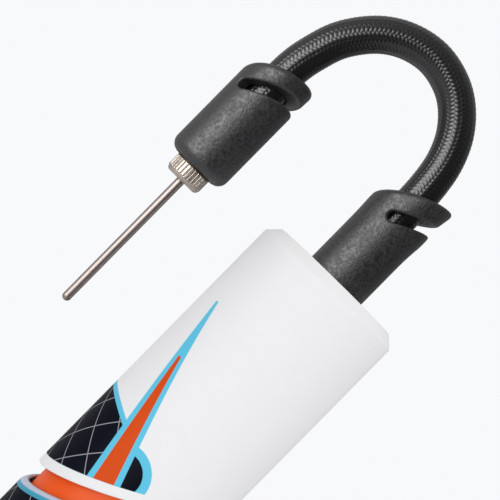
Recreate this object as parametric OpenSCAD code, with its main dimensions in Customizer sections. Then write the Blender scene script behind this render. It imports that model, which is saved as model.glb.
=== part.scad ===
// Slim two-handed ball pump with a short braided hose and an inflation needle.
// The pump stands on its handle, +Z runs up its axis, and the origin is the centre of its foot.

/* [Pump body] */
// Height of the pump body, foot to flat top
body_h = 200; // [198:1:206]
// Outside diameter of the outer shell and of the handle tube
tube_d = 36; // [35.8:0.1:36.6]
// Wall thickness of the outer shell and of the handle tube
tube_wall = 1.4; // [1.3:0.05:1.5]
// Width of the 45 degree bevel round both ends
end_bevel = 2.4; // [1:0.2:3]
// Slant of the two facing rims, in degrees
rim_tilt = 28; // [20:1:28]
// Length of the outer shell, measured on the axis
shell_l = 60.3; // [57:0.1:63]
// Gap between the two rims when the pump is closed, measured on the axis
rim_gap = 4.6; // [4:0.2:6]
// Height of the coloured lip on the handle tube
lip_h = 1.8; // [1.4:0.1:2.4]

/* [Barrel and piston] */
// Outside diameter of the pump barrel
barrel_d = 31.4; // [31:0.1:31.6]
// Bore of the pump barrel
bore_d = 28; // [27.6:0.1:28.4]
// Travel of the barrel from closed to fully open
stroke = 90; // [70:1:90]
// Diameter of the piston rod
rod_d = 8; // [7:0.5:9]
// Free travel of the piston seal between its two flanges
seal_float = 0.8; // [0.5:0.1:1.2]
// Diameter of the check valve's ball
ball_d = 5; // [4.6:0.1:5.6]

/* [Hose] */
// Outside diameter of the braided hose
hose_d = 8; // [7.6:0.1:8]
// Outside diameter of the two rubber sleeves
sleeve_d = 14.4; // [13.8:0.1:14.5]
// Slant of the sleeves' hose ends, in degrees
sleeve_tilt = 28; // [20:1:30]
// Width of the slot that makes each sleeve's end flex
slot_w = 2.5; // [2:0.1:2.7]
// Length along the sleeve from its slanted end to the middle of the slot
slot_drop = 5.7; // [5.4:0.1:6]

/* [Needle] */
// Diameter of the needle
needle_d = 2; // [1.8:0.1:2.2]
// Length of the needle below its knurled hub
needle_l = 34.8; // [30:0.2:38]
// Diameter of the knurled hub over its ridges
hub_d = 8.7; // [8.5:0.1:9]
// Height of the knurled hub
hub_h = 3.8; // [3.6:0.1:5]
// Number of ridges on the knurled hub
ridges = 30; // [24:1:32]

/* [Hidden] */

$fn = 96;

// Fits: a slide fit between moving surfaces, and a clear gap where nothing should touch
slide_fit = 0.05;
clear_gap = 0.35;
cut = 1;

// Outer tubes
tube_r = tube_d / 2;
tube_in_r = tube_r - tube_wall;
shell_plate = 3;
shell_rim_z = body_h - shell_l;
lip_z = shell_rim_z - rim_gap;
rim_drop = tube_r * tan(rim_tilt);

// Base cap and the stop that the closed barrel rests on
cap_h = 5;
cap_top = 12;
cap_wall = 2.4;
cap_floor = 5.6;
boss_r = 8;
bumper_h = 3;
screw_r = 2;
screw_l = 16;
screw_head_r = 3.9;
screw_head_h = 2.4;
screw_sink = 4.4;
screw_hole_r = screw_r + 0.2;

// Barrel
barrel_r = barrel_d / 2;
bore_r = bore_d / 2;
rod_r = rod_d / 2;
bush_z = cap_top + bumper_h;
bush_flange_h = 4;
bush_spigot = 8;
bush_spigot_wall = 2.2;
barrel_z = bush_z + bush_flange_h;
vents = 4;
vent_r = 1.5;
guide_l = 12;
stop_gap = 0.05;
guide_z = barrel_z + stroke + stop_gap;

// Barrel head, built down from the shell's end plate
head_top = body_h - shell_plate;
head_flange_h = 7;
barrel_top = head_top - head_flange_h;
head_z = barrel_top - 20;
seat_r = 1.5;
chamber_z = head_z + 6;
chamber_r = 3.6;
retainer_z = head_z + 17;
retainer_h = 2;
retainer_r = 4.5;
retainer_bore_r = 1.2;
outlet_z = retainer_z + retainer_h;
outlet_r = 5;
head_seal_z = barrel_top - 8;
head_seal_r = 1.3;

// Check valve
ball_r = ball_d / 2;
ball_z = chamber_z + sqrt(ball_r * ball_r - seat_r * seat_r) + 0.02;
spring_wire = 0.5;
spring_r = 1.8;
spring_z = ball_z + sqrt(ball_r * ball_r - spring_r * spring_r) + spring_wire;
spring_turns = 5;

// Piston
piston_top = head_z - 1.5;
piston_h = 12.5;
piston_z = piston_top - piston_h;
piston_r = bore_r - clear_gap;
groove_z = piston_z + 3.5;
seal_h = 4;
groove_h = seal_h + seal_float;
core_r = 10;
rod_z = 8;
rod_top = piston_z + 4;
piston_screw_z = piston_top - 3;

// Hose and its two ends
hose_r = hose_d / 2;
sleeve_r = sleeve_d / 2;
needle_x = -37.8;
sleeve_bore_r = 5.3;
sleeve_rise = tan(sleeve_tilt);
// Height of each sleeve's slanted end on its own axis
pump_sleeve_top = body_h + 23.7;
end_sleeve_top = body_h + 21.8;
// Direction of each sleeve's long side, turned from +X towards -Y
pump_sleeve_turn = -11;
end_sleeve_turn = -35;
pump_sleeve_z = head_top + 0.2;
end_sleeve_z = body_h - 3.7;
pump_sleeve_edge = 0.4;
end_sleeve_edge = 2.6;
slot_reach = 1.4;
collar_h = 3;
crimp_h = 6;
crimp_wall = 1.2;
crimp_rise = 1;
crimp_room = crimp_h + 1.2;
barb_r = 1.9;
barb_tip_r = 1.5;
barb_foot = 1.5;
barb_pitch = 2.5;
barb_l = barb_foot + 3 * barb_pitch;
duct_r = 1;
thread_r = outlet_r - slide_fit;
fitting_z = outlet_z + 0.4;
fitting_top = head_top + collar_h;
fitting_seal_r = 0.75;
fitting_groove_z = fitting_z + 1;
fitting_groove_w = 1.7;
fitting_groove_depth = 1.5;
hose_sides = 12;

// Needle end
socket_flange_h = 0.15;
socket_flange_r = 4.45;
socket_z = end_sleeve_z - socket_flange_h;
socket_top = body_h + 6;
socket_bore_r = 3.85;
socket_depth = 7.8;
hub_thread_r = socket_bore_r - slide_fit;
hub_thread_l = 6.4;
hub_z = socket_z - hub_h;
hub_rim = 1;
needle_r = needle_d / 2;
needle_bore_r = 0.45;
needle_grip = 7;
needle_grip_r = needle_r + 0.45;
hub_duct_r = 1;
air_hole_r = 0.4;
air_hole_rise = 4;
needle_tip_z = hub_z - needle_l;

// Route of the hose's middle line in the XZ plane, from the pump's fitting to the needle's socket
route = [
    [0, 200], [0, 208], [0, 216], [0, 224], [-0.5, 230], [-1.5, 234.5], [-3.5, 239],
    [-6.5, 242.8], [-10, 245.5], [-14, 247.1], [-18, 247.7], [-22, 247.2], [-26, 245.7],
    [-29.5, 243.3], [-32.5, 240], [-35, 236], [-36.5, 231.5], [-37.5, 227],
    [-37.8, 222], [-37.8, 214], [-37.8, 206]
];

// A ring or tube standing on z
module ring(r_out, r_in, z, h) {
    translate([0, 0, z])
        difference() {
            cylinder(r = r_out, h = h);
            translate([0, 0, -cut]) cylinder(r = r_in, h = h + 2 * cut);
        }
}

// Everything under the slanted plane that crosses the axis at height z
module under_plane(z, tilt) {
    size = 2 * body_h;
    translate([0, 0, z])
        rotate([0, -tilt, 0])
            translate([-size / 2, -size / 2, -size])
                cube([size, size, size]);
}

// An O-ring of wire radius r whose outer edge lies at r_out
module o_ring(r_out, r, z) {
    translate([0, 0, z])
        rotate_extrude()
            translate([r_out - r, 0]) circle(r = r, $fn = 32);
}

// A machine screw with a pan head and a hexagon socket; the head's seat is at z = 0
module machine_screw() {
    point = 0.4;
    bevel = 0.6;
    socket_r = 1.7;
    socket_floor = 0.8;
    difference() {
        rotate_extrude()
            polygon([
                [0, -screw_l], [screw_r - point, -screw_l], [screw_r, point - screw_l],
                [screw_r, 0], [screw_head_r, 0], [screw_head_r, screw_head_h - bevel],
                [screw_head_r - bevel, screw_head_h], [0, screw_head_h]
            ]);
        translate([0, 0, socket_floor]) cylinder(r = socket_r, h = screw_head_h, $fn = 6);
    }
}

// ---------------------------------------------------------------- handle side

module handle_tube() {
    color([0.03, 0.05, 0.13])
        intersection() {
            ring(tube_r, tube_in_r, cap_h, lip_z + rim_drop);
            under_plane(lip_z - lip_h, rim_tilt);
        }
}

module rim_ring() {
    color([0.38, 0.8, 0.93])
        difference() {
            intersection() {
                ring(tube_r, tube_in_r, cap_h, lip_z + rim_drop);
                under_plane(lip_z, rim_tilt);
            }
            under_plane(lip_z - lip_h, rim_tilt);
        }
}

module guide_bush() {
    color([0.2, 0.2, 0.22])
        ring(tube_in_r, barrel_r + slide_fit, guide_z, guide_l);
}

module base_cap() {
    recess_r = screw_head_r + 0.6;
    color([0.93, 0.93, 0.93])
        rotate_extrude()
            polygon([
                [recess_r, 0], [tube_r - end_bevel, 0], [tube_r, end_bevel],
                [tube_r, cap_h], [tube_in_r, cap_h], [tube_in_r, cap_top],
                [tube_in_r - cap_wall, cap_top], [tube_in_r - cap_wall, cap_floor],
                [boss_r, cap_floor], [boss_r, cap_top], [rod_r, cap_top],
                [rod_r, rod_z], [screw_hole_r, rod_z], [screw_hole_r, screw_sink],
                [recess_r, screw_sink]
            ]);
}

module base_screw() {
    color([0.62, 0.63, 0.65])
        translate([0, 0, screw_sink]) mirror([0, 0, 1]) machine_screw();
}

module bumper_ring() {
    margin = 0.4;
    color([0.1, 0.1, 0.1])
        ring(boss_r - margin, rod_r + margin, cap_top, bumper_h);
}

// The rod is tapped at both ends for the two screws
module piston_rod() {
    tapped = 14;
    color([0.78, 0.79, 0.8])
        difference() {
            translate([0, 0, rod_z]) cylinder(r = rod_r, h = rod_top - rod_z);
            translate([0, 0, rod_z - cut]) cylinder(r = screw_r, h = tapped + cut);
            translate([0, 0, rod_top - tapped]) cylinder(r = screw_r, h = tapped + cut);
        }
}

module piston() {
    recess_r = screw_head_r + 0.4;
    color([0.85, 0.84, 0.8])
        rotate_extrude()
            polygon([
                [rod_r, piston_z], [piston_r, piston_z], [piston_r, groove_z],
                [core_r, groove_z], [core_r, groove_z + groove_h],
                [piston_r, groove_z + groove_h], [piston_r, piston_top],
                [recess_r, piston_top], [recess_r, piston_screw_z],
                [screw_r, piston_screw_z], [screw_r, rod_top], [rod_r, rod_top]
            ]);
}

module piston_screw() {
    color([0.62, 0.63, 0.65])
        translate([0, 0, piston_screw_z]) machine_screw();
}

// Lip seal: its open side faces the barrel head, and air slips past it on the opening stroke
module piston_seal() {
    seal_r = bore_r - slide_fit;
    heel_r = core_r + 0.4;
    top = groove_z + seal_h;
    web = groove_z + 1.8;
    lip_wall = 0.9;
    heel_wall = 0.8;
    color([0.12, 0.12, 0.13])
        rotate_extrude()
            polygon([
                [heel_r, groove_z], [seal_r - 0.6, groove_z], [seal_r - 0.4, groove_z + 2],
                [seal_r, top - 0.8], [seal_r, top], [seal_r - lip_wall, top],
                [seal_r - lip_wall - 0.5, web], [heel_r + heel_wall + 0.2, web],
                [heel_r + heel_wall, top], [heel_r, top]
            ]);
}

// ---------------------------------------------------------------- barrel side

module outer_shell() {
    hole_r = sleeve_r + 0.3;
    hole_bevel = 0.4;
    low_z = shell_rim_z - rim_drop - cut;
    color([0.93, 0.93, 0.93])
        difference() {
            rotate_extrude()
                polygon([
                    [tube_in_r, low_z], [tube_r, low_z], [tube_r, body_h - end_bevel],
                    [tube_r - end_bevel, body_h], [hole_r + hole_bevel, body_h],
                    [hole_r, body_h - hole_bevel], [hole_r, head_top], [tube_in_r, head_top]
                ]);
            under_plane(shell_rim_z, rim_tilt);
        }
}

module barrel_tube() {
    color([1, 0.36, 0.06])
        ring(barrel_r, bore_r, barrel_z, barrel_top - barrel_z);
}

// Gland in the barrel's lower end: it guides the rod, and its flange stops the stroke
module rod_bush() {
    flange_r = tube_in_r - 0.5;
    boss_out_r = rod_r + 2.6;
    spigot_in_r = bore_r - bush_spigot_wall;
    vent_ring_r = (boss_out_r + spigot_in_r) / 2;
    color([0.85, 0.84, 0.8])
        difference() {
            rotate_extrude()
                polygon([
                    [rod_r + slide_fit, bush_z], [flange_r, bush_z], [flange_r, barrel_z],
                    [bore_r, barrel_z], [bore_r, barrel_z + bush_spigot],
                    [spigot_in_r, barrel_z + bush_spigot], [spigot_in_r, barrel_z],
                    [boss_out_r, barrel_z], [boss_out_r, barrel_z + bush_spigot],
                    [rod_r + slide_fit, barrel_z + bush_spigot]
                ]);
            for (i = [0 : vents - 1])
                rotate([0, 0, 45 + 360 / vents * i])
                    translate([vent_ring_r, 0, bush_z - cut])
                        cylinder(r = vent_r, h = bush_flange_h + 2 * cut, $fn = 32);
        }
}

module barrel_head() {
    groove_r = bore_r - 2 * head_seal_r;
    groove_half = head_seal_r + 0.1;
    lead_in = 0.5;
    color([0.85, 0.84, 0.8])
        rotate_extrude()
            polygon([
                [seat_r, head_z], [bore_r - lead_in, head_z], [bore_r, head_z + lead_in],
                [bore_r, head_seal_z - groove_half], [groove_r, head_seal_z - groove_half],
                [groove_r, head_seal_z + groove_half], [bore_r, head_seal_z + groove_half],
                [bore_r, barrel_top], [tube_in_r, barrel_top], [tube_in_r, head_top],
                [outlet_r, head_top], [outlet_r, outlet_z], [retainer_r, outlet_z],
                [retainer_r, retainer_z], [chamber_r, retainer_z], [chamber_r, chamber_z],
                [seat_r, chamber_z]
            ]);
}

module head_seal() {
    color([0.12, 0.12, 0.13]) o_ring(bore_r, head_seal_r, head_seal_z);
}

module valve_ball() {
    color([0.15, 0.15, 0.16]) translate([0, 0, ball_z]) sphere(r = ball_r, $fn = 64);
}

// Compression spring: a wire wound by a function, one polyhedron
module valve_spring() {
    steps = 14;
    sides = 8;
    rings = spring_turns * steps;
    wire_r = spring_wire / 2;
    low = spring_z - wire_r;
    high = retainer_z - wire_r;
    function wire_point(i, j) =
        let (turn = 360 * i / steps, around = 360 * j / sides)
        let (reach = spring_r + wire_r * cos(around))
        let (height = low + (high - low) * i / rings + wire_r * sin(around))
        [reach * cos(turn), reach * sin(turn), height];
    points = [for (i = [0 : rings]) for (j = [0 : sides - 1]) wire_point(i, j)];
    walls = [
        for (i = [0 : rings - 1]) for (j = [0 : sides - 1])
            let (k = (j + 1) % sides)
            [i * sides + j, (i + 1) * sides + j, (i + 1) * sides + k, i * sides + k]
    ];
    ends = [
        [for (j = [0 : sides - 1]) j],
        [for (j = [sides - 1 : -1 : 0]) rings * sides + j]
    ];
    color([0.7, 0.71, 0.73]) polyhedron(points = points, faces = concat(walls, ends));
}

module valve_retainer() {
    color([0.8, 0.65, 0.35]) ring(retainer_r, retainer_bore_r, retainer_z, retainer_h);
}

// ---------------------------------------------------------------- hose

// Profile of a barbed tail of radius r that starts at z, as points going up its outside
function barb_outline(z) = [
    [barb_tip_r, z],
    for (i = [0 : 2])
        each [
            [barb_tip_r, z + barb_foot + i * barb_pitch],
            [barb_r, z + barb_foot + i * barb_pitch]
        ],
    [barb_tip_r, z + barb_l]
];

module pump_fitting() {
    groove_r = thread_r - fitting_groove_depth;
    groove_top = fitting_groove_z + fitting_groove_w;
    color([0.8, 0.65, 0.35])
        rotate_extrude()
            polygon(concat(
                [
                    [duct_r, fitting_z], [thread_r, fitting_z], [thread_r, fitting_groove_z],
                    [groove_r, fitting_groove_z], [groove_r, groove_top],
                    [thread_r, groove_top], [thread_r, head_top],
                    [sleeve_bore_r, head_top], [sleeve_bore_r, fitting_top]
                ],
                barb_outline(fitting_top),
                [[duct_r, fitting_top + barb_l]]
            ));
}

module fitting_seal() {
    color([0.12, 0.12, 0.13]) o_ring(thread_r, fitting_seal_r, fitting_groove_z + fitting_groove_w / 2);
}

// A rubber sleeve on the hose: slanted at the hose's end, with a slot that lets that end flex.
// In its own frame the sleeve stands on z_low with its long side towards +X.
module hose_sleeve(z_low, z_top, edge, bore_top) {
    height = z_top - z_low + sleeve_r * sleeve_rise + cut;
    slot_z = z_top - slot_drop;
    difference() {
        intersection() {
            translate([0, 0, z_low])
                rotate_extrude()
                    difference() {
                        union() {
                            translate([hose_r, edge]) square([sleeve_r - hose_r, height - edge]);
                            translate([hose_r, 0]) square([sleeve_r - hose_r - edge, height]);
                            translate([sleeve_r - edge, edge]) circle(r = edge, $fn = 48);
                        }
                        translate([0, -cut]) square([sleeve_bore_r, bore_top - z_low + cut]);
                    }
            under_plane(z_top, sleeve_tilt);
        }
        translate([slot_w / 2 - slot_reach, 0, slot_z - (slot_reach - slot_w / 2) * sleeve_rise])
            rotate([0, -sleeve_tilt, 0]) {
                translate([0, -sleeve_r - cut, -slot_w / 2])
                    cube([3 * sleeve_r, 2 * (sleeve_r + cut), slot_w]);
                rotate([90, 0, 0])
                    cylinder(r = slot_w / 2, h = 2 * (sleeve_r + cut), center = true, $fn = 48);
            }
    }
}

module pump_sleeve() {
    color([0.17, 0.17, 0.18])
        rotate([0, 0, pump_sleeve_turn])
            hose_sleeve(pump_sleeve_z, pump_sleeve_top, pump_sleeve_edge, fitting_top + crimp_room);
}

module end_sleeve() {
    color([0.17, 0.17, 0.18])
        translate([needle_x, 0, 0])
            rotate([0, 0, end_sleeve_turn])
                hose_sleeve(end_sleeve_z, end_sleeve_top, end_sleeve_edge, socket_top + crimp_room);
}

module crimp_rings() {
    color([0.75, 0.76, 0.78]) {
        ring(hose_r + crimp_wall, hose_r, fitting_top + crimp_rise, crimp_h);
        translate([needle_x, 0, 0]) ring(hose_r + crimp_wall, hose_r, socket_top + crimp_rise, crimp_h);
    }
}

// The hose is one tube swept along its route
module braided_hose() {
    last = len(route) - 1;
    function heading(i) =
        let (d = route[min(i + 1, last)] - route[max(i - 1, 0)])
        d / norm(d);
    function ring_point(i, j) =
        let (t = heading(i), a = 360 * j / hose_sides)
        [
            route[i][0] - t[1] * hose_r * cos(a),
            hose_r * sin(a),
            route[i][1] + t[0] * hose_r * cos(a)
        ];
    points = [for (i = [0 : last]) for (j = [0 : hose_sides - 1]) ring_point(i, j)];
    walls = [
        for (i = [0 : last - 1]) for (j = [0 : hose_sides - 1])
            let (k = (j + 1) % hose_sides)
            [i * hose_sides + j, i * hose_sides + k, (i + 1) * hose_sides + k, (i + 1) * hose_sides + j]
    ];
    ends = [
        [for (j = [hose_sides - 1 : -1 : 0]) j],
        [for (j = [0 : hose_sides - 1]) last * hose_sides + j]
    ];
    color([0.1, 0.1, 0.11]) polyhedron(points = points, faces = concat(walls, ends));
}

// ---------------------------------------------------------------- needle end

module needle_socket() {
    color([0.55, 0.45, 0.32])
        translate([needle_x, 0, 0])
            rotate_extrude()
                polygon(concat(
                    [
                        [socket_bore_r, socket_z], [socket_flange_r, socket_z],
                        [socket_flange_r, end_sleeve_z], [sleeve_bore_r, end_sleeve_z],
                        [sleeve_bore_r, socket_top]
                    ],
                    barb_outline(socket_top),
                    [
                        [duct_r, socket_top + barb_l], [duct_r, socket_z + socket_depth],
                        [socket_bore_r, socket_z + socket_depth]
                    ]
                ));
}

module needle_seal() {
    color([0.12, 0.12, 0.13])
        translate([needle_x, 0, 0])
            ring(socket_bore_r, 1.6, socket_z + hub_thread_l + 0.1, socket_depth - hub_thread_l - 0.1);
}

// Straight knurl: rounded flutes cut round the hub leave the ridges standing
module needle_hub() {
    hub_r = hub_d / 2;
    rim_r = hub_r - 0.2;
    bevel = 0.6;
    flute_r = 0.32;
    flute_offset = 0.05;
    color([0.72, 0.7, 0.67])
        translate([needle_x, 0, 0])
            difference() {
                union() {
                    translate([0, 0, hub_z + hub_rim])
                        linear_extrude(height = hub_h - hub_rim)
                            difference() {
                                circle(r = hub_r);
                                for (i = [0 : ridges - 1])
                                    rotate(360 / ridges * (i + 0.5))
                                        translate([hub_r + flute_offset, 0]) circle(r = flute_r, $fn = 16);
                            }
                    rotate_extrude()
                        polygon([
                            [0, hub_z], [rim_r - bevel, hub_z], [rim_r, hub_z + bevel],
                            [rim_r, hub_z + hub_rim], [0, hub_z + hub_rim]
                        ]);
                    translate([0, 0, socket_z - 0.2]) cylinder(r = hub_thread_r, h = hub_thread_l + 0.2);
                }
                translate([0, 0, hub_z - cut])
                    cylinder(r = needle_grip_r, h = needle_grip + cut);
                cylinder(r = hub_duct_r, h = hub_z + hub_h + hub_thread_l + cut);
            }
}

// Hollow needle with a round nose and a thicker root that the hub grips;
// its air hole is in the side, away from the front
module needle_tube() {
    hole_z = needle_tip_z + air_hole_rise;
    color([0.75, 0.74, 0.72])
        translate([needle_x, 0, 0])
            difference() {
                union() {
                    translate([0, 0, needle_tip_z + needle_r])
                        cylinder(r = needle_r, h = needle_l - needle_r, $fn = 48);
                    translate([0, 0, hub_z]) cylinder(r = needle_grip_r, h = needle_grip);
                    translate([0, 0, needle_tip_z + needle_r]) sphere(r = needle_r, $fn = 32);
                }
                translate([0, 0, hole_z - 0.5])
                    cylinder(r = needle_bore_r, h = needle_l + needle_grip, $fn = 32);
                translate([0, 0, hole_z])
                    rotate([-90, 0, 0]) cylinder(r = air_hole_r, h = 2 * needle_r, $fn = 24);
            }
}

handle_tube();
rim_ring();
guide_bush();
base_cap();
base_screw();
bumper_ring();
piston_rod();
piston();
piston_screw();
piston_seal();
outer_shell();
barrel_tube();
rod_bush();
barrel_head();
head_seal();
valve_ball();
valve_spring();
valve_retainer();
pump_fitting();
fitting_seal();
pump_sleeve();
crimp_rings();
braided_hose();
end_sleeve();
needle_socket();
needle_seal();
needle_hub();
needle_tube();
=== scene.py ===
import math
import bpy
import numpy as np
from mathutils import Matrix, Vector


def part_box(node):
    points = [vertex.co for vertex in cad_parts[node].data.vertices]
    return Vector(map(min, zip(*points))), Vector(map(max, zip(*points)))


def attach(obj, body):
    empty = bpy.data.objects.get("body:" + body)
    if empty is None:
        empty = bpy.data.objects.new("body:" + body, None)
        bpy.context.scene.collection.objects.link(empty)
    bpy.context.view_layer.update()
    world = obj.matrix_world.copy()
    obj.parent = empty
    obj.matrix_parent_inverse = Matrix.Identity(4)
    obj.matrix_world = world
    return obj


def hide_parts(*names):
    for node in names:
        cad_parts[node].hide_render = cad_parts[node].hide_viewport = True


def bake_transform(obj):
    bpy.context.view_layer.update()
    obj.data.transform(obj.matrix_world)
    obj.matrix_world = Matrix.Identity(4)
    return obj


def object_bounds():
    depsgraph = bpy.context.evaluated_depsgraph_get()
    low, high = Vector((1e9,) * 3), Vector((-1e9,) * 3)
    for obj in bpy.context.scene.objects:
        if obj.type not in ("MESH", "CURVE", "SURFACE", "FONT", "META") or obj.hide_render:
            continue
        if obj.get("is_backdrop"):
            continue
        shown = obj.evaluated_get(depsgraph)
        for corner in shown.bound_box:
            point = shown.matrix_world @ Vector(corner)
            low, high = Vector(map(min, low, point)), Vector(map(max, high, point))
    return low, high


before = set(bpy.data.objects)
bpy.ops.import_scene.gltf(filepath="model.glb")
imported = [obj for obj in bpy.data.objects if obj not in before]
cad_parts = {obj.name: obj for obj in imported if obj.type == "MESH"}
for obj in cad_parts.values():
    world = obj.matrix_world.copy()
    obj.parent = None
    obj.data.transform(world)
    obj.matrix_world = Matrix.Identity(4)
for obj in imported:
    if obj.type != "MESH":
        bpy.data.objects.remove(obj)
cad_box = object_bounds()

# Lengths below are in millimetres; meshes are scaled to metres as they are made
MM = 0.001
BODY_TOP = 200
TUBE_R = 18
TUBE_IN_R = 16.6
END_BEVEL = 2.4
RIM_TILT = math.radians(28)
RIM_SLOPE = math.tan(RIM_TILT)
SHELL_RIM_Z = 139.7
LIP_Z = 135.1
LIP_H = 1.8
HANDLE_LOW = 5
BARREL_R = 15.7
BARREL_BORE_R = 14
BARREL_LOW = 19
BARREL_TOP = 190
NEEDLE_X = -37.8
HOSE_R = 4
SLEEVE_R = 7.2
SLEEVE_BORE_R = 5.3

# Middle line of the hose in metres, the same points as in part.scad
ROUTE = [
    (0, 0, 0.2), (0, 0, 0.208), (0, 0, 0.216), (0, 0, 0.224), (-0.0005, 0, 0.23),
    (-0.0015, 0, 0.2345), (-0.0035, 0, 0.239), (-0.0065, 0, 0.2428), (-0.01, 0, 0.2455),
    (-0.014, 0, 0.2471), (-0.018, 0, 0.2477), (-0.022, 0, 0.2472), (-0.026, 0, 0.2457),
    (-0.0295, 0, 0.2433), (-0.0325, 0, 0.24), (-0.035, 0, 0.236), (-0.0365, 0, 0.2315),
    (-0.0375, 0, 0.227), (-0.0378, 0, 0.222), (-0.0378, 0, 0.214), (-0.0378, 0, 0.206),
]


# ---------------------------------------------------------------- camera

def add_camera():
    """A level view from the front, rolled so that the pump points to the upper right."""
    data = bpy.data.cameras.new("camera")
    data.sensor_width = 36
    data.lens = 113.8
    data.clip_start = 0.01
    camera = bpy.data.objects.new("camera", data)
    bpy.context.collection.objects.link(camera)
    place = (-0.01733, -0.330, 0.1922)
    right = Vector((0.712, 0, 0.702)).normalized()
    back = Vector((0, -1, 0))
    up = back.cross(right)
    turn = Matrix((right, up, back)).transposed().to_4x4()
    camera.matrix_world = Matrix.Translation(place) @ turn
    bpy.context.scene.camera = camera


# ---------------------------------------------------------------- materials

# Nearly all of a noise's values lie between these two
NOISE_SPAN = (0.3, 0.7)
GRAIN_SPAN = (0.35, 0.65)


class Number:
    """A value inside a material, so that a pattern can be written as arithmetic."""

    def __init__(self, tree, socket):
        self.tree = tree
        self.socket = socket

    def math(self, operation, *others):
        node = self.tree.nodes.new("ShaderNodeMath")
        node.operation = operation
        for place, value in enumerate((self,) + others):
            feed(self.tree, value, node.inputs[place])
        return Number(self.tree, node.outputs[0])

    def __add__(self, other):
        return self.math("ADD", other)

    def __sub__(self, other):
        return self.math("SUBTRACT", other)

    def __mul__(self, other):
        return self.math("MULTIPLY", other)

    def over(self, other):
        return self.math("DIVIDE", other)

    def above(self, edge, soft=0.08):
        """1 where the value is above the edge and 0 below it, with a soft step."""
        node = self.tree.nodes.new("ShaderNodeMapRange")
        node.interpolation_type = "SMOOTHSTEP"
        feed(self.tree, self - edge, node.inputs["Value"])
        node.inputs["From Min"].default_value = -soft
        node.inputs["From Max"].default_value = soft
        return Number(self.tree, node.outputs["Result"])

    def spread(self, low, high, start=0.0, end=1.0):
        """Maps start..end to low..high, held at both ends."""
        node = self.tree.nodes.new("ShaderNodeMapRange")
        feed(self.tree, self, node.inputs["Value"])
        node.inputs["From Min"].default_value = start
        node.inputs["From Max"].default_value = end
        node.inputs["To Min"].default_value = low
        node.inputs["To Max"].default_value = high
        return Number(self.tree, node.outputs["Result"])


def feed(tree, value, socket):
    """Gives a socket a value, a colour, or the result of other nodes."""
    if isinstance(value, Number):
        tree.links.new(value.socket, socket)
    elif isinstance(value, (tuple, list)):
        socket.default_value = tuple(value) + (1,) * (len(socket.default_value) - len(value))
    else:
        socket.default_value = value


def new_material(name, roughness, metallic=0.0, specular=0.5):
    material = bpy.data.materials.new(name)
    material.use_nodes = True
    tree = material.node_tree
    shader = tree.nodes["Principled BSDF"]
    shader.inputs["Roughness"].default_value = roughness
    shader.inputs["Metallic"].default_value = metallic
    shader.inputs["Specular IOR Level"].default_value = specular
    return material, tree, shader


def coordinates(tree, scale=(1, 1, 1)):
    """Object coordinates in millimetres, stretched by scale."""
    source = tree.nodes.new("ShaderNodeTexCoord")
    mapping = tree.nodes.new("ShaderNodeMapping")
    mapping.inputs["Scale"].default_value = [s / MM for s in scale]
    tree.links.new(source.outputs["Object"], mapping.inputs["Vector"])
    return mapping.outputs["Vector"]


def xyz(tree):
    split = tree.nodes.new("ShaderNodeSeparateXYZ")
    tree.links.new(coordinates(tree), split.inputs[0])
    return [Number(tree, split.outputs[axis]) for axis in range(3)]


def noise(tree, scale, detail=2.0, stretch=(1, 1, 1)):
    """Noise of about 0 to 1 with that many cells per millimetre."""
    node = tree.nodes.new("ShaderNodeTexNoise")
    node.inputs["Scale"].default_value = scale
    node.inputs["Detail"].default_value = detail
    tree.links.new(coordinates(tree, stretch), node.inputs["Vector"])
    return Number(tree, node.outputs["Fac"])


def mix(tree, amount, low, high):
    """The colour low where amount is 0 and high where it is 1."""
    node = tree.nodes.new("ShaderNodeMix")
    node.data_type = "RGBA"
    feed(tree, amount, node.inputs[0])
    feed(tree, low, node.inputs[6])
    feed(tree, high, node.inputs[7])
    return Number(tree, node.outputs[2])


def bump(tree, shader, height, depth):
    """Raises the surface by height times depth, in millimetres."""
    node = tree.nodes.new("ShaderNodeBump")
    node.inputs["Strength"].default_value = 1.0
    node.inputs["Distance"].default_value = depth * MM
    tree.links.new(height.socket, node.inputs["Height"])
    tree.links.new(node.outputs["Normal"], shader.inputs["Normal"])


def paint(tree, shader, pattern, low, high, span=NOISE_SPAN):
    """Colours the surface from low to high as the pattern runs over its span."""
    feed(tree, mix(tree, pattern.spread(0.0, 1.0, *span), low, high), shader.inputs["Base Color"])


def roughen(tree, shader, pattern, low, high, span=NOISE_SPAN):
    """Roughness from low to high as the pattern runs over its span."""
    feed(tree, pattern.spread(low, high, *span), shader.inputs["Roughness"])


def painted(tree, shader):
    """The colour that the surface has so far."""
    return Number(tree, shader.inputs["Base Color"].links[0].from_socket)


def moulded(name, colour, roughness, grain=3.0, depth=0.01, specular=0.3, clouds=0.045):
    """A moulded plastic with a faint grain and a faint change of tone."""
    material, tree, shader = new_material(name, roughness, specular=specular)
    darker = tuple(c * (1 - clouds) for c in colour)
    paint(tree, shader, noise(tree, 0.25, 3.0), darker, colour)
    fine = noise(tree, grain)
    roughen(tree, shader, fine, roughness - 0.05, roughness + 0.05)
    bump(tree, shader, fine, depth)
    return material, tree, shader


def machined(name, colour, roughness, pitch):
    """A turned or drawn metal: fine lines round its axis."""
    material, tree, shader = new_material(name, roughness, metallic=1.0)
    lines = noise(tree, 1.0, 3.0, stretch=(0.3, 0.3, pitch))
    darker = tuple(c * 0.8 for c in colour)
    paint(tree, shader, lines, darker, colour)
    roughen(tree, shader, lines, roughness - 0.08, roughness + 0.08)
    bump(tree, shader, lines, 0.01)
    return material


WHITE = (0.84, 0.84, 0.845)
PRINT_BLUE = (0.115, 0.55, 0.76)
PRINT_ORANGE = (0.68, 0.072, 0.004)
PRINT_NAVY = (0.0016, 0.0024, 0.009)
PRINT_GREY = (0.33, 0.33, 0.36)
SMOOTH = {"grain": 4.0, "depth": 0.004}

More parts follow.
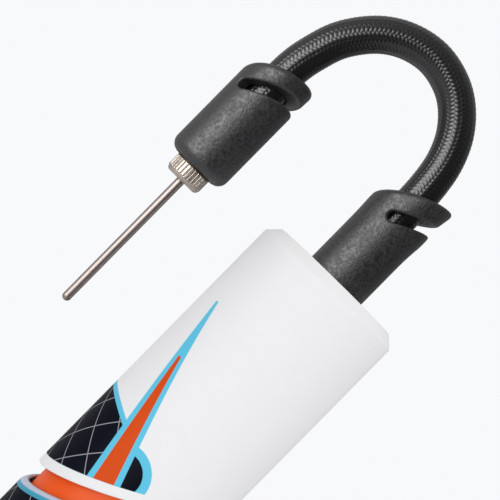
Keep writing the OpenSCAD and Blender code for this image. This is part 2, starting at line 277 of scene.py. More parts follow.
# The print, in millimetres: down from the top, or round from the front line with +X positive
LINE_SLOPE = 0.95
LINE_W = 0.28
WHITE_LATTICE = 8.6
NAVY_LATTICE = 9.42
BLUE_EDGE_W = 1.2
PRINT_FROM_RIM = 2.2
STRIPE_LEAN = 0.276
STRIPE_SHIFT = 22.7
STRIPE_TIP = 32.8
OUTLINE_TIP = 19.8
PANEL_BACK = 30
PANEL_TOP = 46.2
PANEL_SAG = 0.0095
PATCH_LEFT = 4.6
PATCH_DOWN = 57.4
PATCH_R = 4.6
PATCH_EDGE_R = 6.4
BAND_TOP = 22
BAND_LOW = 20.6


def around(tree):
    """Distance round the tube from its front line, and height, both in millimetres."""
    x, y, z = xyz(tree)
    angle = x.math("ARCTAN2", y * -1)
    return angle * TUBE_R, z, x


def lattice(across, height, pitch):
    """Thin lines that cross each other in both directions."""
    rising = (across + height * LINE_SLOPE).over(pitch).math("PINGPONG", 0.5)
    falling = (across - height * LINE_SLOPE).over(pitch).math("PINGPONG", 0.5)
    nearest = rising.math("MINIMUM", falling) * pitch
    return (nearest * -1).above(-LINE_W / 2, 0.05)


def both(first, second):
    return first * second


def either(first, second):
    return first.math("MAXIMUM", second)


def wedge(down, off_middle, tip, growth):
    """A stripe with a point at its tip whose half width grows on the way down."""
    reach = down - tip
    return both((reach * growth + 0.4 - off_middle).above(0), reach.above(0))


def rim_panel(across, down, middle):
    """A panel from the stripe round to the back, the same on both sides, and its blue edge."""
    from_back = (across + PANEL_BACK).math("ABSOLUTE")
    inside = middle + PANEL_BACK - from_back
    below_top = down - (from_back * from_back * PANEL_SAG + PANEL_TOP)
    edge = both(below_top.above(0), inside.above(0))
    panel = both(below_top.above(BLUE_EDGE_W), inside.above(BLUE_EDGE_W))
    return edge, panel


def round_patch(across, down, middle):
    """A patch cut off by the stripe's middle line, and its blue edge."""
    sideways = (across + PATCH_LEFT).math("POWER", 2)
    distance = (sideways + (down - PATCH_DOWN).math("POWER", 2)).math("SQRT")
    right = (across - middle).above(0)
    edge = both((distance * -1 + PATCH_EDGE_R).above(0), right)
    patch = both((distance * -1 + PATCH_R).above(0), right)
    return edge, patch


def printed_white():
    """White plastic with a plain print at its rim: a tapered stripe, a latticed panel and a patch."""
    material, tree, shader = moulded("printed_white", WHITE, 0.48, specular=0.05, clouds=0.012, **SMOOTH)
    base = painted(tree, shader)
    across, height, x = around(tree)
    down = height * -1 + BODY_TOP
    from_rim = (height - x * RIM_SLOPE - SHELL_RIM_Z) * math.cos(RIM_TILT)
    printed = from_rim.above(PRINT_FROM_RIM)
    middle = down * STRIPE_LEAN - STRIPE_SHIFT
    off_middle = (across - middle).math("ABSOLUTE")
    outline = wedge(down, off_middle, OUTLINE_TIP, 0.083)
    stripe = wedge(down, off_middle, STRIPE_TIP, 0.07)
    panel_edge, panel = rim_panel(across, down, middle)
    patch_edge, patch = round_patch(across, down, middle)
    blue = either(either(outline, panel_edge), patch_edge)
    colour = mix(tree, both(blue, printed), base, PRINT_BLUE)
    colour = mix(tree, both(patch, printed), colour, PRINT_NAVY)
    dark = mix(tree, lattice(across, height, WHITE_LATTICE), PRINT_NAVY, PRINT_GREY)
    colour = mix(tree, both(panel, printed), colour, dark)
    colour = mix(tree, both(outline, printed), colour, PRINT_BLUE)
    colour = mix(tree, both(stripe, printed), colour, PRINT_ORANGE)
    feed(tree, colour, shader.inputs["Base Color"])
    return material


def printed_navy():
    """Dark printed film with thin crossing lines; a white band with a blue edge at the foot."""
    material, tree, shader = moulded("printed_navy", PRINT_NAVY, 0.48, specular=0.05, **SMOOTH)
    across, height, _ = around(tree)
    dark = mix(tree, lattice(across, height, NAVY_LATTICE), PRINT_NAVY, PRINT_GREY)
    low_band = (height * -1 + BAND_TOP).above(0)
    blue_band = both(low_band, (height - BAND_LOW).above(0))
    colour = mix(tree, low_band, dark, WHITE)
    colour = mix(tree, blue_band, colour, PRINT_BLUE)
    feed(tree, colour, shader.inputs["Base Color"])
    return material


def lip_plastic():
    """Blue plastic whose rounded upper edge is painted pale as a highlight."""
    material, tree, shader = moulded("blue_plastic", (0.045, 0.33, 0.48), 0.4, specular=0.2, **SMOOTH)
    base = painted(tree, shader)
    x, _, z = xyz(tree)
    under = (x * RIM_SLOPE - z + LIP_Z) * math.cos(RIM_TILT)
    highlight_h = 0.62
    # Painted highlight: the band along the rounded top is pale grey-lavender, as if lit.
    pale = (under * -1 + highlight_h).above(0, 0.22)
    feed(tree, mix(tree, pale, base, (0.52, 0.56, 0.68)), shader.inputs["Base Color"])
    return material


def sleeve_rubber():
    """Black rubber with a fine spark-eroded grain that breaks up its sheen."""
    material, tree, shader = new_material("sleeve_rubber", 0.5, specular=0.8)
    grain = noise(tree, 1.4, 3.0)
    pits = noise(tree, 3.4)
    paint(tree, shader, grain, (0.0055, 0.006, 0.0075), (0.0125, 0.0128, 0.015), GRAIN_SPAN)
    roughen(tree, shader, grain, 0.4, 0.62, GRAIN_SPAN)
    bump(tree, shader, grain * 0.6 + pits * 0.4, 0.15)
    return material


def hose_braid():
    """Black woven yarn whose grooves are painted darker than its crests, as shade."""
    material, tree, shader = new_material("hose_braid", 0.3, specular=0.62)
    weave = tree.nodes.new("ShaderNodeAttribute")
    weave.attribute_name = "weave"
    crest = Number(tree, weave.outputs["Fac"])
    # Painted shade: the colour goes from the grooves' near black to the crests' slightly paler black.
    colour = mix(tree, crest, (0.0008, 0.0008, 0.001), (0.004, 0.004, 0.0055))
    feed(tree, colour, shader.inputs["Base Color"])
    roughen(tree, shader, crest, 0.4, 0.3, span=(0.1, 0.7))
    bump(tree, shader, noise(tree, 9.0), 0.004)
    return material


def needle_steel():
    """A drawn tube with faint lines along it."""
    material, tree, shader = new_material("needle_steel", 0.44, metallic=1.0)
    lines = noise(tree, 3.0, 3.0, stretch=(3, 3, 0.15))
    paint(tree, shader, lines, (0.245, 0.207, 0.194), (0.3, 0.257, 0.24))
    roughen(tree, shader, lines, 0.4, 0.48)
    bump(tree, shader, lines, 0.002)
    return material


def plated_nickel():
    """Warm nickel plate, a little duller in places."""
    material, tree, shader = new_material("plated_nickel", 0.42, metallic=0.85)
    tone = noise(tree, 1.2, 3.0)
    paint(tree, shader, tone, (0.36, 0.31, 0.27), (0.48, 0.43, 0.38))
    roughen(tree, shader, tone, 0.36, 0.48)
    bump(tree, shader, noise(tree, 6.0), 0.006)
    return material


def make_plastics():
    orange = (0.98, 0.112, 0.005)
    return {
        "printed_navy": printed_navy(),
        "printed_white": printed_white(),
        "blue_plastic": lip_plastic(),
        "white_plastic": moulded("white_plastic", WHITE, 0.45, specular=0.2, clouds=0.012, **SMOOTH)[0],
        "orange_plastic": moulded("orange_plastic", orange, 0.4, specular=0.15, **SMOOTH)[0],
        "dark_nylon": moulded("dark_nylon", (0.03, 0.03, 0.034), 0.5)[0],
        "natural_acetal": moulded("natural_acetal", (0.72, 0.7, 0.64), 0.45)[0],
        "seal_rubber": moulded("seal_rubber", (0.02, 0.02, 0.021), 0.5)[0],
        "sleeve_rubber": sleeve_rubber(),
        "hose_braid": hose_braid(),
    }


def make_metals():
    return {
        "rod_aluminium": machined("rod_aluminium", (0.78, 0.79, 0.8), 0.3, 8.0),
        "crimp_aluminium": machined("crimp_aluminium", (0.78, 0.79, 0.8), 0.35, 4.0),
        "zinc_steel": machined("zinc_steel", (0.62, 0.63, 0.66), 0.32, 5.0),
        "spring_steel": machined("spring_steel", (0.5, 0.5, 0.52), 0.3, 5.0),
        # The socket's plated metal is painted nearly black-brown as shade, for the shadow it sits in
        # under the sleeve.
        "socket_painted_shade": machined("socket_painted_shade", (0.06, 0.047, 0.04), 0.5, 4.0),
        "brass": machined("brass", (0.78, 0.55, 0.24), 0.28, 6.0),
        "needle_steel": needle_steel(),
        "plated_nickel": plated_nickel(),
    }


# ---------------------------------------------------------------- mesh tools

def make_piece(name, points, faces, material, body, nodes):
    """A smooth mesh from points in millimetres that stands for CAD nodes and may ride on a body."""
    mesh = bpy.data.meshes.new(name)
    mesh.from_pydata((np.asarray(points) * MM).tolist(), [], faces)
    mesh.polygons.foreach_set("use_smooth", [True] * len(faces))
    mesh.materials.append(material)
    mesh.validate()
    piece = bpy.data.objects.new(name, mesh)
    bpy.context.collection.objects.link(piece)
    if body:
        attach(piece, body)
    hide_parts(*nodes)
    return piece


def rounded(corners, steps=5):
    """A closed outline with rounded corners, from corners of (radius, height, slant, rounding)."""
    outline = []
    for i, (r, z, slant, rounding) in enumerate(corners):
        here = np.array((r, z), float)
        before = np.array(corners[i - 1][:2], float) - here
        after = np.array(corners[(i + 1) % len(corners)][:2], float) - here
        if rounding == 0:
            outline.append((r, z, slant))
            continue
        before /= np.linalg.norm(before)
        after /= np.linalg.norm(after)
        half = math.acos(np.clip(before @ after, -1, 1)) / 2
        reach = rounding / math.tan(half)
        centre = here + (before + after) / np.linalg.norm(before + after) * rounding / math.sin(half)
        start = here + before * reach - centre
        end = here + after * reach - centre
        sweep = math.pi - 2 * half
        margin = 0.15 * rounding
        outline.append((*(here + before * (reach + margin)), slant))
        for k in range(steps + 1):
            t = k / steps
            spot = (math.sin((1 - t) * sweep) * start + math.sin(t * sweep) * end) / math.sin(sweep)
            outline.append((*(centre + spot), slant))
        outline.append((*(here + after * (reach + margin)), slant))
    return outline


def turned(outline, sides, centre_x=0.0, swell=None):
    """Points and quads of a closed outline turned round an upright axis."""
    r, z, slant = np.array(outline, float).T
    angle = np.arange(sides) * 2 * math.pi / sides
    radius = np.repeat(r[None, :], sides, axis=0)
    height = np.repeat(z[None, :], sides, axis=0)
    if swell is not None:
        radius = radius + swell(angle[:, None], radius, height)
    x = radius * np.cos(angle)[:, None]
    y = radius * np.sin(angle)[:, None]
    height = height + slant[None, :] * x * RIM_SLOPE
    points = np.stack([x + centre_x, y, height], axis=-1).reshape(-1, 3)
    count = len(outline)
    faces = []
    for i in range(sides):
        near = i * count
        far = (i + 1) % sides * count
        for j in range(count):
            k = (j + 1) % count
            faces.append((near + j, far + j, far + k, near + k))
    return points, faces


# ---------------------------------------------------------------- tubes

def shell_outline():
    hole_r = SLEEVE_R + 0.3
    head_top = 197
    rim = SHELL_RIM_Z
    return rounded([
        (TUBE_IN_R, rim, 1, 0.35), (TUBE_R, rim, 1, 0.45), (TUBE_R, BODY_TOP - END_BEVEL, 0, 0.5),
        (TUBE_R - END_BEVEL, BODY_TOP, 0, 0.5), (hole_r, BODY_TOP, 0, 0.4), (hole_r, head_top, 0, 0.1),
        (TUBE_IN_R, head_top, 0, 0.3),
    ])


def add_shell(finish):
    points, faces = turned(shell_outline(), sides=192)
    return make_piece("shell_printed", points, faces, finish["printed_white"],
                      "barrel", ["outer_shell"])


def add_barrel(finish):
    outline = rounded([
        (BARREL_BORE_R, BARREL_LOW, 0, 0.3), (BARREL_R, BARREL_LOW, 0, 0.4),
        (BARREL_R, BARREL_TOP, 0, 0.2), (BARREL_BORE_R, BARREL_TOP, 0, 0.2),
    ])
    points, faces = turned(outline, sides=160)
    return make_piece("barrel_orange", points, faces, finish["orange_plastic"],
                      "barrel", ["barrel_tube"])


def add_handle(finish):
    top = LIP_Z - LIP_H
    outline = rounded([(TUBE_IN_R, HANDLE_LOW, 0, 0.1), (TUBE_R, HANDLE_LOW, 0, 0.1),
                       (TUBE_R, top, 1, 0.12), (TUBE_IN_R, top, 1, 0.1)])
    points, faces = turned(outline, sides=192)
    return make_piece("handle_printed", points, faces, finish["printed_navy"],
                      "handle", ["handle_tube"])


def add_lip(finish):
    low = LIP_Z - LIP_H
    outline = rounded([(TUBE_IN_R, low, 1, 0.1), (TUBE_R, low, 1, 0.12), (TUBE_R, LIP_Z, 1, 0.95),
                       (TUBE_IN_R, LIP_Z, 1, 0.4)], steps=8)
    points, faces = turned(outline, sides=192)
    return make_piece("lip_blue", points, faces, finish["blue_plastic"],
                      "handle", ["rim_ring"])


def add_foot(finish):
    """The cap that closes the handle: a flat foot with a bevelled edge and a recess for its screw."""
    collar_in_r, collar_top = 14.2, 12
    floor_z = 5.6
    boss_r = 8
    rod_r, rod_foot = 4, 8
    screw_r = 2.2
    recess_r, recess_top = 4.5, 4.4
    outline = rounded([
        (recess_r, 0, 0, 0.3), (TUBE_R - END_BEVEL, 0, 0, 0.5), (TUBE_R, END_BEVEL, 0, 0.5),
        (TUBE_R, HANDLE_LOW, 0, 0.12), (TUBE_IN_R, HANDLE_LOW, 0, 0.1), (TUBE_IN_R, collar_top, 0, 0.3),
        (collar_in_r, collar_top, 0, 0.3), (collar_in_r, floor_z, 0, 0.5), (boss_r, floor_z, 0, 0.5),
        (boss_r, collar_top, 0, 0.3), (rod_r, collar_top, 0, 0.2), (rod_r, rod_foot, 0, 0.2),
        (screw_r, rod_foot, 0, 0.1), (screw_r, recess_top, 0, 0.1), (recess_r, recess_top, 0, 0.2),
    ])
    points, faces = turned(outline, sides=160)
    return make_piece("foot_cap", points, faces, finish["white_plastic"],
                      "handle", ["base_cap"])


# ---------------------------------------------------------------- valve spring

SPRING_R = 1.8
SPRING_WIRE_R = 0.25
SPRING_TURNS = 5


def add_spring(finish):
    """A wound wire whose end turns lie closer, spanning the CAD spring's height."""
    low, high = (corner[2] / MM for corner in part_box("valve_spring"))
    steps = 36 * SPRING_TURNS
    sides = 12
    closing = 0.6
    share = np.arange(steps + 1) / steps
    climb = share - closing * np.sin(2 * math.pi * share) / (2 * math.pi)
    middle = low + SPRING_WIRE_R + (high - low - 2 * SPRING_WIRE_R) * climb
    turn = share * 2 * math.pi * SPRING_TURNS
    ring = np.arange(sides) * 2 * math.pi / sides
    radius = SPRING_R + SPRING_WIRE_R * np.cos(ring)[None, :]
    points = np.stack([
        radius * np.cos(turn)[:, None],
        radius * np.sin(turn)[:, None],
        middle[:, None] + SPRING_WIRE_R * np.sin(ring)[None, :],
    ], axis=-1).reshape(-1, 3)
    faces = tube_faces(steps + 1, sides)
    spring = make_piece("spring_wound", points, faces, finish["spring_steel"],
                        None, ["valve_spring"])
    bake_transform(spring)


def tube_faces(rows, sides):
    """Quads between rings of points, and a cap at each end."""
    faces = []
    for i in range(rows - 1):
        for j in range(sides):
            k = (j + 1) % sides
            faces.append((i * sides + j, i * sides + k, (i + 1) * sides + k, (i + 1) * sides + j))
    faces.append(tuple(range(sides - 1, -1, -1)))
    faces.append(tuple((rows - 1) * sides + j for j in range(sides)))
    return faces


# ---------------------------------------------------------------- hose

HOSE_COLUMNS = 20
WEAVE_PITCH = 0.9
WEAVE_DEPTH = 0.1
# The columns turn slowly along the hose; at WEAVE_MARK they stand at WEAVE_START
WEAVE_TWIST = math.radians(0.6)
WEAVE_START = math.radians(6)
WEAVE_MARK = 27.5
# Lengths at the two ends that the sleeves cover
HIDDEN_LOW = 12
HIDDEN_END = 6


def smooth_route(step):
    """Points and directions along a smooth curve through the route."""
    knots = np.array(ROUTE) / MM
    padded = np.vstack([2 * knots[0] - knots[1], knots, 2 * knots[-1] - knots[-2]])
    fine = []
    for i in range(1, len(padded) - 2):
        a, b, c, d = padded[i - 1:i + 3]
        for t in np.arange(0, 1, 0.02):
            fine.append(0.5 * (2 * b + (c - a) * t + (2 * a - 5 * b + 4 * c - d) * t ** 2
                               + (3 * b - a - 3 * c + d) * t ** 3))
    fine.append(knots[-1])
    fine = np.array(fine)
    # A light smoothing takes the small kinks out of the bend and keeps both ends in place
    for _ in range(150):
        fine[1:-1] += 0.5 * ((fine[:-2] + fine[2:]) / 2 - fine[1:-1])
    gaps = np.linalg.norm(np.diff(fine, axis=0), axis=1)
    travel = np.concatenate([[0], np.cumsum(gaps)])
    stops = stations(travel[-1], step)
    spots = np.stack([np.interp(stops, travel, fine[:, axis]) for axis in range(3)], axis=1)
    heading = np.gradient(spots, stops, axis=0)
    heading /= np.linalg.norm(heading, axis=1)[:, None]
    return stops, spots, heading


def stations(length, step):
    """Fine steps where the hose shows, coarse ones where the sleeves hide it."""
    start = np.arange(0, HIDDEN_LOW, 1.0)
    shown = np.arange(HIDDEN_LOW, length - HIDDEN_END, step)
    end = np.linspace(length - HIDDEN_END, length, HIDDEN_END + 1)
    return np.concatenate([start, shown, end])


def weave_height(travel, turn):
    """Height from 0 to 1 of a braid whose columns of stitches lean to alternate sides."""
    turned_by = turn - WEAVE_START + WEAVE_TWIST * (travel - WEAVE_MARK)
    column = turned_by / (2 * math.pi) * HOSE_COLUMNS
    place = np.mod(column, 1)
    lean = np.where(np.mod(np.floor(column), 2) < 1, 1.0, -1.0)
    # A stitch leans by 0.45 of the pitch, and alternate columns start half a pitch apart
    phase = travel / WEAVE_PITCH + lean * (place - 0.5) * 0.45 + 0.25 * lean
    stitch = np.abs(np.sin(math.pi * phase)) ** 0.5
    crown = np.sin(math.pi * place) ** 0.4
    return stitch * crown


def add_hose(finish):
    sides = 8 * HOSE_COLUMNS
    mean_r = HOSE_R - 0.06
    travel, spots, heading = smooth_route(0.125)
    turn = (np.arange(sides) + 0.5) * 2 * math.pi / sides
    inward = np.stack([-heading[:, 2], np.zeros(len(travel)), heading[:, 0]], axis=1)
    height = weave_height(travel[:, None], turn[None, :])
    covered = (travel < HIDDEN_LOW) | (travel > travel[-1] - HIDDEN_END)
    height = np.where(covered[:, None], 0.5, height)
    radius = mean_r + WEAVE_DEPTH * (height - 0.5)
    out = inward[:, None, :] * np.cos(turn)[None, :, None]
    out = out + np.array([0, 1.0, 0]) * np.sin(turn)[None, :, None]
    points = (spots[:, None, :] + radius[..., None] * out).reshape(-1, 3)
    faces = tube_faces(len(travel), sides)
    hose = make_piece("hose_braid_tube", points, faces, finish["hose_braid"],
                      "hose", ["braided_hose"])
    layer = hose.data.attributes.new("weave", "FLOAT", "POINT")
    layer.data.foreach_set("value", height.reshape(-1).astype(np.float32))
    return hose


# ---------------------------------------------------------------- sleeves

def round_both(a, b, r):
    """Inside both solids, with the edge between them rounded to radius r."""
    corner = np.hypot(np.maximum(a + r, 0), np.maximum(b + r, 0))
    return np.minimum(np.maximum(a, b), -r) + corner


def sleeve_field(low, edge, bore_top, top, rise, droop, corner, slot_x, slot_z, lean, flare):
    """Distance below zero inside a sleeve, in its own frame with its long side towards +X."""
    slot_half = 1.2
    bore_edge = 0.3
    slot_edge = 0.45
    # The slanted top is steeper than a level one, so its distance is scaled down
    slant_scale = 0.91

    def leaning(x, z):
        """X of the outline before the collar above the slot leans out on its long side."""
        raised = np.maximum(z - slot_z - slot_half - RIM_SLOPE * (x - slot_x), 0)
        return x - lean * raised * np.clip((x + 3) / 7, 0, 1)

    def swelling(x, z):
        """How far the sleeve bulges round its slot, more on the long side."""
        near_slot = np.exp(-((z - slot_z - 0.6) / 3.5) ** 2)
        return flare * near_slot * np.where(x > 0, 1, 0.55) * (x / SLEEVE_R) ** 2

    def slot(x, z):
        """A slanted slot with a round end, open towards the long side."""
        along = (x - slot_x) * math.cos(RIM_TILT) + (z - slot_z) * math.sin(RIM_TILT)
        off = -(x - slot_x) * math.sin(RIM_TILT) + (z - slot_z) * math.cos(RIM_TILT)
        return np.hypot(np.minimum(along, 0), off) - slot_half

    def bore(r, z):
        """The hose's bore, wider below bore_top."""
        return np.minimum(r - HOSE_R, np.maximum(r - SLEEVE_BORE_R, z - bore_top))

    def field(p):
        x, y, z = p[..., 0], p[..., 1], p[..., 2]
        over = (z - top - rise * x + droop * x * x) * slant_scale
        side = np.hypot(leaning(x, z), y) - SLEEVE_R - swelling(x, z)
        body = round_both(side, low - z, edge)
        body = round_both(body, over, corner)
        body = round_both(body, -bore(np.hypot(x, y), z), bore_edge)
        return round_both(body, -slot(x, z), slot_edge)

    return field


def edge_pairs(axis, cells):
    """The two ends of each cell's four edges along an axis, as slices of the grid."""
    others = [a for a in range(3) if a != axis]
    for i in (0, 1):
        for j in (0, 1):
            start = [0, 0, 0]
            start[others[0]] = i
            start[others[1]] = j
            end = list(start)
            end[axis] = 1
            near = tuple(slice(s, s + c) for s, c in zip(start, cells))
            far = tuple(slice(s, s + c) for s, c in zip(end, cells))
            yield near, far


def cell_points(grid, value, inside, cells):
    """The mean of each cell's crossings, and which cells have any."""
    total = np.zeros(cells + (3,))
    hits = np.zeros(cells)
    for axis in range(3):
        for near, far in edge_pairs(axis, cells):
            crossed = inside[near] != inside[far]
            gap = np.where(crossed, value[near] - value[far], 1)
            share = np.where(crossed, value[near] / gap, 0)
            spot = grid[near] + share[..., None] * (grid[far] - grid[near])
            total += np.where(crossed[..., None], spot, 0)
            hits += crossed
    used = hits > 0
    return total[used] / hits[used][:, None], used


def cell_faces(inside, number, cells):
    """A quad of four cells round each crossed edge of the grid."""
    faces = []
    for axis in range(3):
        b_axis, c_axis = (axis + 1) % 3, (axis + 2) % 3
        first = [slice(1, -1)] * 3
        first[axis] = slice(0, -1)
        second = [slice(1, -1)] * 3
        second[axis] = slice(1, None)
        leaving = inside[tuple(first)] & ~inside[tuple(second)]
        entering = ~inside[tuple(first)] & inside[tuple(second)]
        ring = []
        for db, dc in ((1, 1), (0, 1), (0, 0), (1, 0)):
            part = [slice(0, None)] * 3
            part[b_axis] = slice(1 - db, cells[b_axis] - db)
            part[c_axis] = slice(1 - dc, cells[c_axis] - dc)
            ring.append(number[tuple(part)])
        ring = np.stack(ring, axis=-1)
        faces.append(ring[entering])
        faces.append(ring[leaving][:, ::-1])
    return np.concatenate(faces)


def surface_net(field, low, high, step):
    """Quads of the surface where the field is zero, one point in each cell that it crosses."""
    counts = [int(math.ceil((high[a] - low[a]) / step)) + 1 for a in range(3)]
    axes = [low[a] + step * np.arange(counts[a]) for a in range(3)]
    grid = np.stack(np.meshgrid(*axes, indexing="ij"), axis=-1)
    cells = tuple(n - 1 for n in counts)
    value = field(grid)
    inside = value < 0
    points, used = cell_points(grid, value, inside, cells)
    number = np.full(cells, -1)
    number[used] = np.arange(used.sum())
    return points, cell_faces(inside, number, cells)


def settle(points, faces, field, rounds=4):
    """Evens the points out along the surface and puts them back on it."""
    pairs = np.concatenate([faces[:, [k, (k + 1) % 4]] for k in range(4)])
    weight = np.zeros(len(points))
    np.add.at(weight, pairs[:, 0], 1)
    for turn in range(rounds):
        mean = np.zeros_like(points)
        np.add.at(mean, pairs[:, 0], points[pairs[:, 1]])
        mean /= weight[:, None]
        if turn < rounds - 1:
            points = points + 0.5 * (mean - points)
        for _ in range(3):
            points = project(points, field)
    return points


def project(points, field):
    """Moves the points along the field's slope towards its surface, by a bounded step."""
    longest = 0.15
    least_slope = 0.25
    nudges = 0.01 * np.eye(3)
    slope = np.stack([(field(points + n) - field(points - n)) / 0.02 for n in nudges], axis=1)
    size = np.maximum((slope ** 2).sum(axis=1), least_slope)
    move = np.clip(field(points), -longest, longest)
    return points - slope * (move / size)[:, None]


def add_sleeve(name, node, field, low, high, x, turn, finish):
    """A sleeve from its field, turned by that many degrees and stood at x."""
    reach = SLEEVE_R + 2
    points, faces = surface_net(field, (-reach, -reach, low - 1), (reach, reach, high + 6), step=0.3)
    points = settle(points, faces, field)
    c, s = math.cos(math.radians(turn)), math.sin(math.radians(turn))
    points = points @ np.array([[c, s, 0], [-s, c, 0], [0, 0, 1]])
    points[:, 0] += x
    return make_piece(name, points, faces.tolist(), finish["sleeve_rubber"],
                      "hose", [node])


def add_pump_sleeve(finish):
    low, high = 197.2, 223.7
    field = sleeve_field(low, edge=0.4, bore_top=207.2, top=224.15, rise=0.49, droop=0.0145,
                         corner=1.15, slot_x=0.0, slot_z=217.65, lean=0.2, flare=0.33)
    return add_sleeve("sleeve_at_pump", "pump_sleeve", field, low, high, 0, -11, finish)


def add_end_sleeve(finish):
    low, high = 196.25, 221.8
    field = sleeve_field(low, edge=2.6, bore_top=213.2, top=222.4, rise=0.43, droop=0.011,
                         corner=1.5, slot_x=-0.7, slot_z=215.7, lean=0.08, flare=0.0)
    return add_sleeve("sleeve_at_needle", "end_sleeve", field, low, high, NEEDLE_X, -35, finish)


# ---------------------------------------------------------------- needle end

HUB_LOW = 192.35
HUB_TOP = 196.15
HUB_R = 4.35
HUB_END_R = 4.22
HUB_RIM = 1.0
HUB_RIDGES = 30
GRIP_R = 1.45
GRIP_TOP = HUB_LOW + 7
DUCT_R = 1


def ridges(angle, radius, height):
    """Straight knurl on the hub's outside: grooves that fade out at both ends."""
    depth = 0.3
    shown = np.clip((height - HUB_LOW - HUB_RIM) / 0.25, 0, 1) * np.clip((HUB_TOP - height) / 0.2, 0, 1)
    groove = (0.5 - 0.5 * np.cos(HUB_RIDGES * angle)) ** 6
    return np.where(radius > 4.2, -depth * groove * shown, 0)


def add_hub(finish):
    """The needle's hub: a smooth rounded end, a knurled wall and the thread that the socket hides."""
    thread_r, thread_top = 3.8, 202.55
    chamfer = 0.2
    end = rounded([(GRIP_R, HUB_LOW, 0, 0.15), (HUB_END_R, HUB_LOW, 0, HUB_RIM),
                   (HUB_END_R, HUB_TOP, 0, 0)], steps=8)
    end = [spot for spot in end if spot[1] < HUB_LOW + HUB_RIM - 0.04]
    wall = [(HUB_R, z, 0) for z in np.linspace(HUB_LOW + HUB_RIM, HUB_TOP - 0.15, 16)]
    thread = [
        (HUB_R - chamfer, HUB_TOP - 0.02, 0), (thread_r, HUB_TOP, 0), (thread_r, thread_top - chamfer, 0),
        (thread_r - chamfer, thread_top, 0), (DUCT_R, thread_top, 0), (DUCT_R, GRIP_TOP, 0),
        (GRIP_R, GRIP_TOP, 0),
    ]
    points, faces = turned(end + wall + thread, 32 * HUB_RIDGES, centre_x=NEEDLE_X, swell=ridges)
    return make_piece("hub_knurled", points, faces, finish["plated_nickel"],
                      "needle", ["needle_hub"])


def add_socket(finish):
    """The socket that the hub screws into, with a thin flange below and the hose's tail above."""
    bore_r, bore_top = 3.85, 203.95
    flange_r, flange_top = 4.45, 196.3
    body_r, body_top = 5.25, 206
    tail_foot_r, tail_tip_r, tail_top = 1.9, 1.5, 215
    outline = rounded([
        (bore_r, HUB_TOP, 0, 0.05), (flange_r, HUB_TOP, 0, 0.06), (flange_r, flange_top, 0, 0.03),
        (body_r, flange_top, 0, 0.1), (body_r, body_top, 0, 0.2), (tail_foot_r, body_top, 0, 0.1),
        (tail_tip_r, tail_top, 0, 0.1), (DUCT_R, tail_top, 0, 0.1), (DUCT_R, bore_top, 0, 0.1),
        (bore_r, bore_top, 0, 0.1),
    ])
    points, faces = turned(outline, sides=128, centre_x=NEEDLE_X)
    return make_piece("socket_turned", points, faces, finish["socket_painted_shade"],
                      "hose", ["needle_socket"])


# ---------------------------------------------------------------- carried-over nodes

# The CAD nodes that are good enough as they are, and the material that each one gets
CARRIED = {
    "guide_bush": "dark_nylon", "base_screw": "zinc_steel", "bumper_ring": "seal_rubber",
    "piston_rod": "rod_aluminium", "piston": "natural_acetal", "piston_screw": "zinc_steel",
    "piston_seal": "seal_rubber", "rod_bush": "natural_acetal", "barrel_head": "natural_acetal",
    "head_seal": "seal_rubber", "valve_ball": "seal_rubber", "valve_retainer": "brass",
    "pump_fitting": "brass", "fitting_seal": "seal_rubber", "crimp_rings": "crimp_aluminium",
    "needle_seal": "seal_rubber", "needle_tube": "needle_steel",
}


def dress_nodes(finish):
    for name, material in CARRIED.items():
        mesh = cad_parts[name].data
        mesh.materials.clear()
        mesh.materials.append(finish[material])


# ---------------------------------------------------------------- stage

def add_floor():
    """A pale disc that fades out, so that it never cuts the background with an edge."""
    sides = 96
    radius = 0.6
    below_foot = -0.0002
    fade_start, fade_end = 230, 430
    rim = [(radius * math.cos(a), radius * math.sin(a), below_foot)
           for a in np.arange(sides) * 2 * math.pi / sides]
    mesh = bpy.data.meshes.new("floor")
    mesh.from_pydata(rim, [], [tuple(range(sides))])
    floor = bpy.data.objects.new("floor", mesh)
    bpy.context.collection.objects.link(floor)
    material, tree, shader = new_material("floor", 0.8)
    x, y, _ = xyz(tree)
    distance = (x * x + y * y).math("SQRT")
    tone = noise(tree, 0.05, 3.0)
    feed(tree, mix(tree, tone, (0.84, 0.85, 0.865), (0.86, 0.87, 0.885)), shader.inputs["Base Color"])
    feed(tree, distance.spread(1.0, 0.0, fade_start, fade_end), shader.inputs["Alpha"])
    mesh.materials.append(material)
    floor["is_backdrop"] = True


def studio_light(rightward, backward, upward, mirrored):
    """Strength of the world's light: an even fill for matt surfaces, broad boxes for glossy rays."""
    fill = backward * backward * 0.7 + upward * 0.27 - rightward * 0.03 + 0.665
    left = (rightward * -1).math("MAXIMUM", 0)
    behind = backward.math("MAXIMUM", 0) * upward.spread(0.2, 1.0, -0.6, 0.0)
    overhead = upward.math("MAXIMUM", 0).math("POWER", 2)
    below = (upward * -1).math("MAXIMUM", 0).math("POWER", 6)
    reflected = left * 0.52 + behind * 0.35 + overhead * 0.35 + below + 0.08
    return fill + (reflected - fill) * mirrored


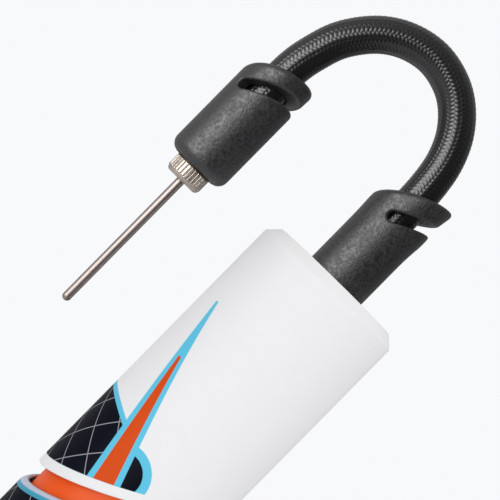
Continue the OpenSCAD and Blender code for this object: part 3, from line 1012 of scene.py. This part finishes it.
def add_world():
    """A pale surround for the camera, and the studio's light for everything else."""
    world = bpy.data.worlds.new("studio")
    world.use_nodes = True
    tree = world.node_tree
    tree.nodes.clear()
    seen = tree.nodes.new("ShaderNodeBackground")
    seen.inputs["Color"].default_value = (0.939, 0.947, 0.965, 1)
    lit = tree.nodes.new("ShaderNodeBackground")
    lit.inputs["Color"].default_value = (0.99, 0.99, 1.0, 1)
    direction = tree.nodes.new("ShaderNodeTexCoord")
    split = tree.nodes.new("ShaderNodeSeparateXYZ")
    tree.links.new(direction.outputs["Generated"], split.inputs[0])
    ways = [Number(tree, split.outputs[axis]) for axis in "XYZ"]
    path = tree.nodes.new("ShaderNodeLightPath")
    mirrored = Number(tree, path.outputs["Is Glossy Ray"])
    feed(tree, studio_light(*ways, mirrored), lit.inputs["Strength"])
    choose = tree.nodes.new("ShaderNodeMixShader")
    tree.links.new(path.outputs["Is Camera Ray"], choose.inputs[0])
    tree.links.new(lit.outputs[0], choose.inputs[1])
    tree.links.new(seen.outputs[0], choose.inputs[2])
    output = tree.nodes.new("ShaderNodeOutputWorld")
    tree.links.new(choose.outputs[0], output.inputs["Surface"])
    bpy.context.scene.world = world


def add_key_light():
    """A softbox at the camera's left that faces the pump and lights only by reflection."""
    data = bpy.data.lights.new("key", "AREA")
    data.shape = "RECTANGLE"
    data.size = 0.75
    data.size_y = 0.4
    data.energy = 7.6
    light = bpy.data.objects.new("key", data)
    bpy.context.collection.objects.link(light)
    target = Vector((-0.01, 0, 0.19))
    distance = 0.8
    azimuth, elevation = math.radians(-37), math.radians(2)
    away = Vector((math.sin(azimuth) * math.cos(elevation), -math.cos(azimuth) * math.cos(elevation),
                   math.sin(elevation)))
    light.location = target + away * distance
    light.rotation_euler = away.to_track_quat("Z", "Y").to_euler()
    light.visible_diffuse = False


def add_stage():
    add_floor()
    add_world()
    add_key_light()
    bpy.context.scene.view_settings.view_transform = "Standard"


# ---------------------------------------------------------------- the scene

def build():
    add_camera()
    finish = make_plastics() | make_metals()
    hose = add_hose(finish)
    sleeve_a = add_pump_sleeve(finish)
    sleeve_b = add_end_sleeve(finish)
    hub = add_hub(finish)
    socket = add_socket(finish)
    add_shell(finish)
    add_barrel(finish)
    add_handle(finish)
    add_lip(finish)
    add_foot(finish)
    add_spring(finish)
    dress_nodes(finish)
    add_stage()


def write_sizes():
    boxes = {"cad": cad_box, "visual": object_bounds()}
    plain = {name: [list(corner) for corner in box] for name, box in boxes.items()}


build()
write_sizes()
